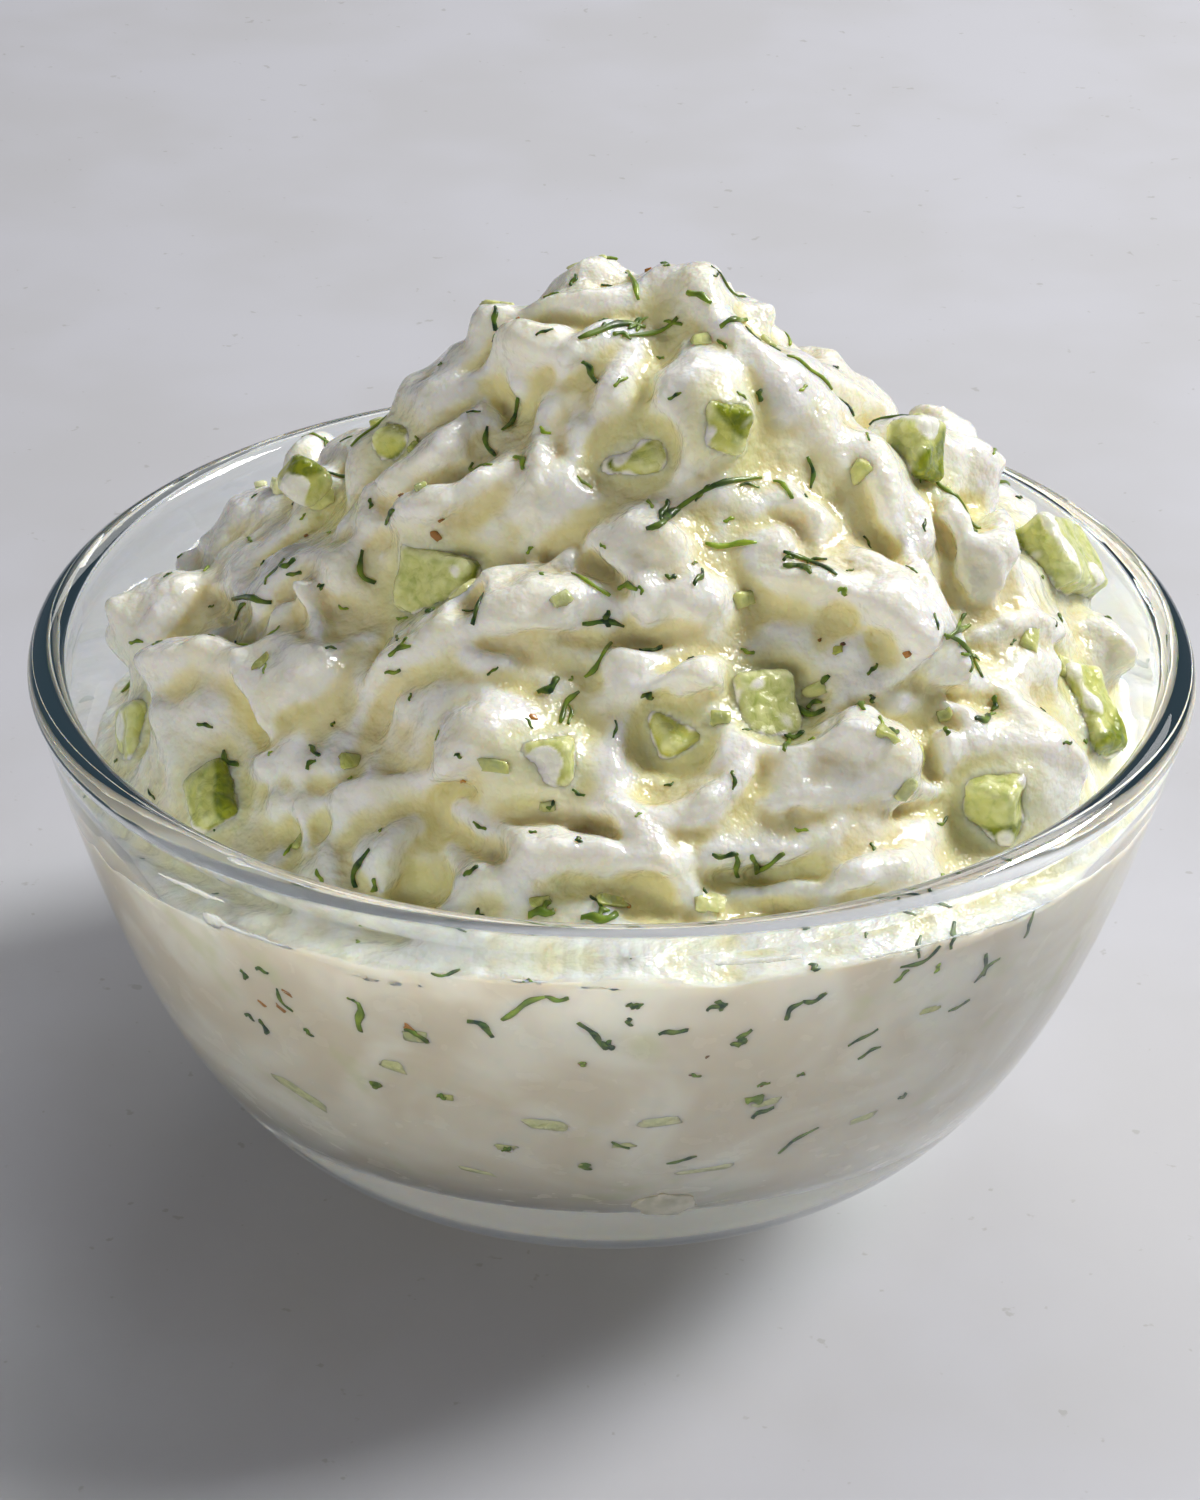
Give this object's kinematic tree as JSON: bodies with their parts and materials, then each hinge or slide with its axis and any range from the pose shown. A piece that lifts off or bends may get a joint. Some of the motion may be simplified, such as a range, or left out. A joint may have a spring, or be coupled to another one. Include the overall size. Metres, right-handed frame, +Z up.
{
  "type": "bowl of pickle dip",
  "caption": "Small round clear glass bowl heaped high with lumpy cream dip, with diced pickle and chopped dill in it",
  "frame": {"origin": "centre of the bowl's flat foot, on the surface it stands on", "axes": "+Z up along the bowl's axis, -Y towards the viewer of the picture, +X to the viewer's right"},
  "size_m": [0.125, 0.125, 0.0986],
  "materials": {
    "clear_glass": "smooth clear pressed glass",
    "dip_cream": "glossy off-white cream dip with chopped dill fused to it",
    "pickle_flesh": "wet pale green pickled cucumber"
  },
  "bodies": {
    "root": {"bowl": "clear_glass", "dip": "dip_cream", "pickle_mid_left": "pickle_flesh", "pickle_centre": "pickle_flesh", "pickle_collar": "pickle_flesh", "pickle_low": "pickle_flesh", "pickle_left_rim": "pickle_flesh", "pickle_left_front": "pickle_flesh", "pickle_top": "pickle_flesh", "pickle_under_top": "pickle_flesh", "pickle_far_left": "pickle_flesh", "pickle_shade_left": "pickle_flesh", "pickle_right": "pickle_flesh", "pickle_right_rim": "pickle_flesh", "pickle_right_front": "pickle_flesh", "pickle_shoulder": "pickle_flesh", "pickle_back_1": "pickle_flesh", "pickle_back_2": "pickle_flesh", "pickle_back_3": "pickle_flesh", "pickle_back_4": "pickle_flesh", "pickle_back_5": "pickle_flesh", "pickle_back_6": "pickle_flesh"}
  },
  "joints": []
}
